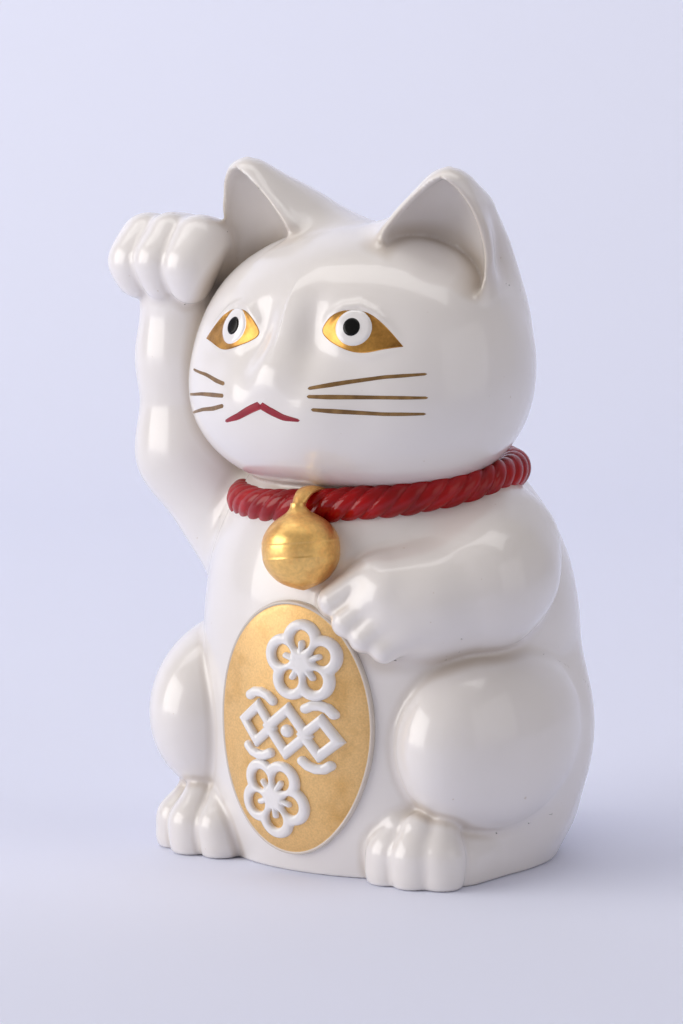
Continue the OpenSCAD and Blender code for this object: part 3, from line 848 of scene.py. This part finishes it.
stroke("painted_mouth_right", MOUTH[:4], (0.8, 1.7, 2.2, 2.3), 0.16, (0, 1, 0), LIP, "red_enamel")
stroke("painted_mouth_left", MOUTH[3:], (2.3, 2.2, 1.7, 0.8), 0.17, (0, 1, 0), LIP, "red_enamel")


# ---------------------------------------------------------------- collar, bell, koban
def tube(name, rings, closed=False, caps=True):
    """A closed mesh through rings of points, each ring running the same way round."""
    n, m = len(rings), len(rings[0])
    V = np.concatenate(rings)
    i = np.arange(n * m).reshape(n, m)
    a = i if closed else i[:-1]
    b = np.roll(i, -1, 0) if closed else i[1:]
    q = np.stack([a, np.roll(a, -1, 1), np.roll(b, -1, 1), b], -1).reshape(-1, 4)
    fs = [q]
    tris = []
    if not closed and caps:
        V = np.concatenate([V, [rings[0].mean(0), rings[-1].mean(0)]])
        k = i[0]
        tris.append(np.stack([np.roll(k, -1), k, np.full(m, n * m)], -1))
        k = i[-1]
        tris.append(np.stack([k, np.roll(k, -1), np.full(m, n * m + 1)], -1))
    fs += tris
    ob = make(name, V, fs)
    me = ob.data
    import bmesh
    bm = bmesh.new()
    bm.from_mesh(me)
    bmesh.ops.recalc_face_normals(bm, faces=bm.faces)
    bm.to_mesh(me)
    bm.free()
    return ob


ROPE_T, ROPE_S = ((1100, 44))
rings = []
for k in range(ROPE_T):
    t = 2 * math.pi * k / ROPE_T
    cx, cy = 39.5 * math.cos(t), 3 + 37 * math.sin(t)
    nx, ny = math.cos(t) / 39.5, math.sin(t) / 37
    ln = math.hypot(nx, ny)
    nx, ny = nx / ln, ny / ln
    cz = 106.6 + 0.095 * cx + 0.080 * cy
    th = np.linspace(0, 2 * math.pi, ROPE_S, endpoint=False)
    ph = (44 * t - 4 * th + 0.35 * math.sin(5 * t) + 0.2 * math.sin(11 * t + 1)) / (2 * math.pi)
    fr = (ph - np.floor(ph)) * 2 - 1
    w = np.sqrt(1 - 0.97 * fr * fr)
    strand = np.floor(ph) % 4
    rr = (0.76 + 0.24 * w) * (1 + 0.02 * (strand - 1.5))
    o, u = np.cos(th) * 4.7 * rr, np.sin(th) * 5.0 * rr
    rings.append(np.stack([cx + nx * o, cy + ny * o, cz + u], 1))
fit_out(tube("twisted_collar", rings, closed=True), "red_enamel", RED, "collar_cord")

BELL = np.array([6.9, -43.6, 93.8])
lean = math.radians(-7)
axis = np.array([math.sin(lean), 0.05, math.cos(lean)])
axis /= np.linalg.norm(axis)
ex = np.cross([0, 1, 0], axis)
ex /= np.linalg.norm(ex)
ey = np.cross(axis, ex)
prof = [(-11.5, 0.25), (-11.35, 0.9), (-11.0, 2.0), (-10.2, 4.2), (-8.9, 6.6), (-7.2, 8.4), (-5.2, 9.8), (-3.4, 10.55), (-2.6, 10.72),
        (-2.2, 10.82), (-1.8, 10.78), (-1.0, 10.86), (0, 10.9), (1.1, 10.86), (1.8, 10.76), (2.2, 10.8), (2.6, 10.68),
        (4.2, 10.1), (5.8, 9.1), (7.2, 7.9), (8.4, 6.4), (9.3, 4.9), (10.1, 3.6), (10.9, 2.75), (11.8, 2.2), (12.8, 2.0)]
prof = np.array(prof)
zz = np.concatenate([np.linspace(prof[i, 0], prof[i + 1, 0], 4, endpoint=False) for i in range(len(prof) - 1)] + [[prof[-1, 0]]])
rr = lerp(zz, prof[:, 0], prof[:, 1])
th = np.linspace(0, 2 * math.pi, 96, endpoint=False)
rings = [BELL + axis * z + np.outer(np.cos(th) * r, ex) + np.outer(np.sin(th) * r, ey) for z, r in zip(zz, rr)]
fit_out(tube("round_bell", rings), "gilding", GOLD, "bell")

path = np.array([(5.5, -43.0, 104.8), (5.2, -42.0, 106.3), (5.0, -40.8, 107.6), (4.8, -38.8, 108.9), (4.6, -35.6, 109.4), (4.5, -31.5, 108.8)])
wide, thick = [1.95, 2.0, 2.3, 2.6, 2.7, 2.7], [1.9, 1.55, 1.3, 1.15, 1.0, 0.9]
ss = np.linspace(0, 5, 41)
mid = np.stack([lerp(ss, np.arange(6), path[:, d]) for d in range(3)], 1)
tn = np.gradient(mid, axis=0)
tn /= np.linalg.norm(tn, axis=1)[:, None]
th = np.linspace(0, 2 * math.pi, 28, endpoint=False)
rings = []
for p, t, w, h in zip(mid, tn, np.interp(ss, range(6), wide), np.interp(ss, range(6), thick)):
    sx = np.array([1, 0.05, 0]) - t * (t[0] + 0.05 * t[1])
    sx /= np.linalg.norm(sx)
    up = np.cross(t, sx)
    rings.append(p + np.outer(np.cos(th) * w, sx) + np.outer(np.sin(th) * h, up))
fit_out(tube("bell_hanger", rings), "gilding", GOLD, "bell_loop")

KC, KS = math.cos(math.radians(6.5)), math.sin(math.radians(6.5))


def on_koban(p, q, lift=0.0):
    """Places on the belly, from the koban's own plane."""
    x = 1.7 + p * KC + q * KS
    z = 42.5 - p * KS + q * KC
    P = np.stack([x, np.full_like(x, -30.0), z], -1).reshape(-1, 3)
    return drop(torso, P, (0, 1, 0), 30, lift)


nr, na = ((40, 260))
a = np.linspace(0, 2 * np.pi, na, endpoint=False)


def koban_sheet(name, inner, outer, rise, mat, slot, *nodes, closed=True, rows=nr):
    k = outer + (inner - outer) * np.linspace(0, 1, rows, endpoint=inner > 0)
    pp = np.outer(1 - 0 * k, np.cos(a)) * (24.5 + (k[:, None] - 1) * 30)
    qq = np.outer(1 - 0 * k, np.sin(a)) * (36 + (k[:, None] - 1) * 30)
    if inner == 0:
        pp, qq = np.outer(k, np.cos(a)) * 24.5, np.outer(k, np.sin(a)) * 36
    P = on_koban(pp, qq)
    r = np.repeat(rise(k), na)
    ob = film(name, P, r, (len(k), na), wrap=True, centre=inner == 0, under=0.3, fn=torso)
    return fit_out(ob, slot, mat, *nodes)


koban_sheet("koban_field", 0, 1.0, lambda k: 1.5 - 0.25 * np.clip((k - 0.93) / 0.07, 0, 1) ** 2, GOLD_FLAT, "gilding", "koban_plate")
koban_sheet("koban_rim", 0.984, 1.026, lambda k: 0.1 + 1.45 * np.sqrt(np.clip(1 - ((k - 1.0) / 0.0265) ** 2, 0, 1)), GLAZE, "ivory_glaze", rows=9)


def segs(p, q, pts, r):
    d = None
    for (x0, y0), (x1, y1) in zip(pts, pts[1:]):
        dx, dy = x1 - x0, y1 - y0
        h = np.clip(((p - x0) * dx + (q - y0) * dy) / (dx * dx + dy * dy), 0, 1)
        e = np.hypot(p - x0 - h * dx, q - y0 - h * dy) - r
        d = e if d is None else np.minimum(d, e)
    return d


def blossom2(p, q, r, turn):
    u = None
    for k in range(5):
        a = math.radians(turn + 90 + 72 * k)
        e = np.hypot(p - r * 0.58 * math.cos(a), q - r * 0.58 * math.sin(a)) - r * 0.40
        u = e if u is None else smin(u, e, 0.5)
    d = np.abs(u) - 1.55
    for k in range(5):
        a = math.radians(turn + 90 + 72 * k)
        d = np.minimum(d, segs(p, q, [(0, 0), (r * 0.50 * math.cos(a), r * 0.50 * math.sin(a))], 0.9))
    return smin(d, np.hypot(p, q) - r * 0.23, 0.5)


def knot2(p, q, w):
    d = np.abs((np.abs(p) + np.abs(q) - 6.4) * 0.7071) - 1.5
    for s in (-1, 1):
        e = (np.abs(p - s * 10.4) + np.abs(q) - 5.2) * 0.7071
        d = np.minimum(d, np.abs(e) - 1.45)
        for k in (-1, 1):
            d = np.minimum(d, segs(p, q, [(s * 5.4, k * 7.6), (s * 7.2, k * 8.7), (s * 9.6, k * 9.2), (s * 12.0, k * 8.8), (s * 13.8, k * 7.4)], 1.45))
    return smin(d, np.hypot(p, q) - 1.9, 0.4)


def ornament(name, shape, lo, hi, node):
    def fn(P):
        x, z = P[:, 0] - 1.7, P[:, 2] - 42.5
        p, q = x * KC - z * KS, x * KS + z * KC
        t = torso(P)
        s = smax(shape(p, q), t - 3.1, 1.5)
        s = smax(s, 1.0 - t, 0.2)
        return s, np.zeros(len(P), np.int16), np.ones(len(P), F)

    h = 0.42
    V, sk, fc = nets(fn, lo, hi, h, 1.2)
    V[sk], N = settle(lambda P: fn(P)[0], V[sk], h)
    ob = make(name, V, [fc[0]], N)
    fit_out(ob, "white_relief", WHITE, node)
    print("PIECE", ob.name, len(ob.data.polygons))


def at(dp, dq, f):
    return lambda p, q: f(p - dp, q - dq)


ornament("koban_upper_blossom", at(4.5, 20.5, lambda p, q: blossom2(p, q, 10.7, 8)), (-10, -50, 44), (26, -34, 80), "koban_blossom_upper")
ornament("koban_middle_knot", at(1.4, 0, lambda p, q: knot2(p, q, 13.5)), (-20, -50, 27), (24, -34, 58), "koban_knot_middle")
ornament("koban_lower_blossom", at(-2.6, -20.5, lambda p, q: blossom2(p, q, 10.7, 44)), (-20, -50, 4), (14, -32, 42), "koban_blossom_lower")

# ---------------------------------------------------------------- the CAD parts that stay
CLAY = plain_material("bare_clay_look", rgb(214, 204, 190), 0.85, rgb(196, 182, 164), 90, bumpy=0.6)
RUBBER = plain_material("stopper_rubber_look", rgb(52, 52, 56), 0.6, rgb(40, 40, 44), 120, bumpy=0.3)
for name, mat in (("base_plate", CLAY), ("base_stopper", RUBBER)):
    ob = bpy.data.objects[name]
    for s in ob.material_slots:
        s.material = mat

# ---------------------------------------------------------------- floor, backdrop, light, camera
BACK = bpy.data.materials.new("pale_backdrop")
BACK.use_nodes = True
bb = BACK.node_tree.nodes["Principled BSDF"]
bb.inputs["Base Color"].default_value = rgb(233, 237, 255)
bb.inputs["Roughness"].default_value = 0.7
bb.inputs["Specular IOR Level"].default_value = 0.2
# seen from behind, the backdrop lets the view through to the figure
bt = BACK.node_tree
geo, clear, two = bt.nodes.new("ShaderNodeNewGeometry"), bt.nodes.new("ShaderNodeBsdfTransparent"), bt.nodes.new("ShaderNodeMixShader")
bt.links.new(geo.outputs["Backfacing"], two.inputs[0])
bt.links.new(bb.outputs[0], two.inputs[1])
bt.links.new(clear.outputs[0], two.inputs[2])
bt.links.new(two.outputs[0], bt.nodes["Material Output"].inputs["Surface"])


def metres(p):
    return Vector([float(c) for c in p]) * 0.001


prof = [(-900, 0), (700, 0)]
for k in range(1, 17):
    g = math.radians(90 * k / 16)
    prof.append((700 + 500 * math.sin(g), 500 - 500 * math.cos(g)))
prof.append((1200, 2600))
bv, bf = [], []
for s in (-3200, 3200):
    for d, z in prof:
        p = -B_[:2] / np.linalg.norm(B_[:2]) * d + R_[:2] * s
        bv.append((p[0] * 0.001, p[1] * 0.001, z * 0.001))
n = len(prof)
for k in range(n - 1):
    bf.append((k, n + k, n + k + 1, k + 1))
me = bpy.data.meshes.new("cyclorama")
me.from_pydata(bv, [], bf)
me.polygons.foreach_set("use_smooth", [True] * len(bf))
me.materials.append(BACK)
cyc = bpy.data.objects.new("cyclorama", me)
bpy.context.scene.collection.objects.link(cyc)
me = bpy.data.meshes.new("wide_floor")
me.from_pydata([(-7, -7, -0.0006), (7, -7, -0.0006), (7, 7, -0.0006), (-7, 7, -0.0006)], [], [(0, 1, 2, 3)])
me.materials.append(BACK)
wide = bpy.data.objects.new("wide_floor", me)
bpy.context.scene.collection.objects.link(wide)


def softbox(name, where, aim, w, h, power, colour=(1, 1, 1)):
    l = bpy.data.lights.new(name, "AREA")
    l.shape = "RECTANGLE"
    l.size, l.size_y = w, h
    l.energy = power
    l.color = colour
    o = bpy.data.objects.new(name, l)
    o.location = where
    o.rotation_euler = (Vector(aim) - Vector(where)).to_track_quat("-Z", "Y").to_euler()
    bpy.context.scene.collection.objects.link(o)
    return o


def place(right, up, back):
    """A place given from the camera's side: metres to its right, up, and towards it."""
    hb = Vector((B_[0], B_[1], 0)).normalized()
    return Vector((R_[0], R_[1], 0)) * right + hb * back + Vector((0, 0, up))


MID = (0, 0, 0.1)
softbox("key", place(-1.72, 0.50, 0.48), MID, 1.6, 1.6, 26.5, (1.0, 0.972, 0.945))
softbox("top", place(-0.2, 1.9, 0.1), MID, 1.8, 1.4, 1.2, (1.0, 0.985, 0.96))
softbox("fill", place(1.5, 0.7, 1.0), MID, 1.4, 1.4, 3.8, (1.0, 0.97, 0.94))
softbox("back_wash", place(-0.3, 1.5, -0.1), place(0, 0.35, -1.2), 2.2, 0.7, 8.6, (1.0, 0.99, 0.99))

w = bpy.data.worlds.new("studio")
w.use_nodes = True
w.node_tree.nodes["Background"].inputs["Color"].default_value = rgb(236, 228, 224)
w.node_tree.nodes["Background"].inputs["Strength"].default_value = 0.375
bpy.context.scene.world = w
bpy.context.scene.view_settings.view_transform = "Standard"
bpy.context.scene.view_settings.look = "None"

cd = bpy.data.cameras.new("camera")
cd.sensor_fit = "VERTICAL"
cd.sensor_height = 36
cd.sensor_width = 24
cd.lens = FOC * 36 / 1024
cd.clip_start, cd.clip_end = 0.05, 20
cam = bpy.data.objects.new("camera", cd)
m = Matrix.Identity(4)
for i, v in enumerate((R_, U_, B_, cam_at * 0.001)):
    for j in range(3):
        m[j][i] = float(v[j])
cam.matrix_world = m
bpy.context.scene.collection.objects.link(cam)
bpy.context.scene.camera = cam

bpy.context.view_layer.update()
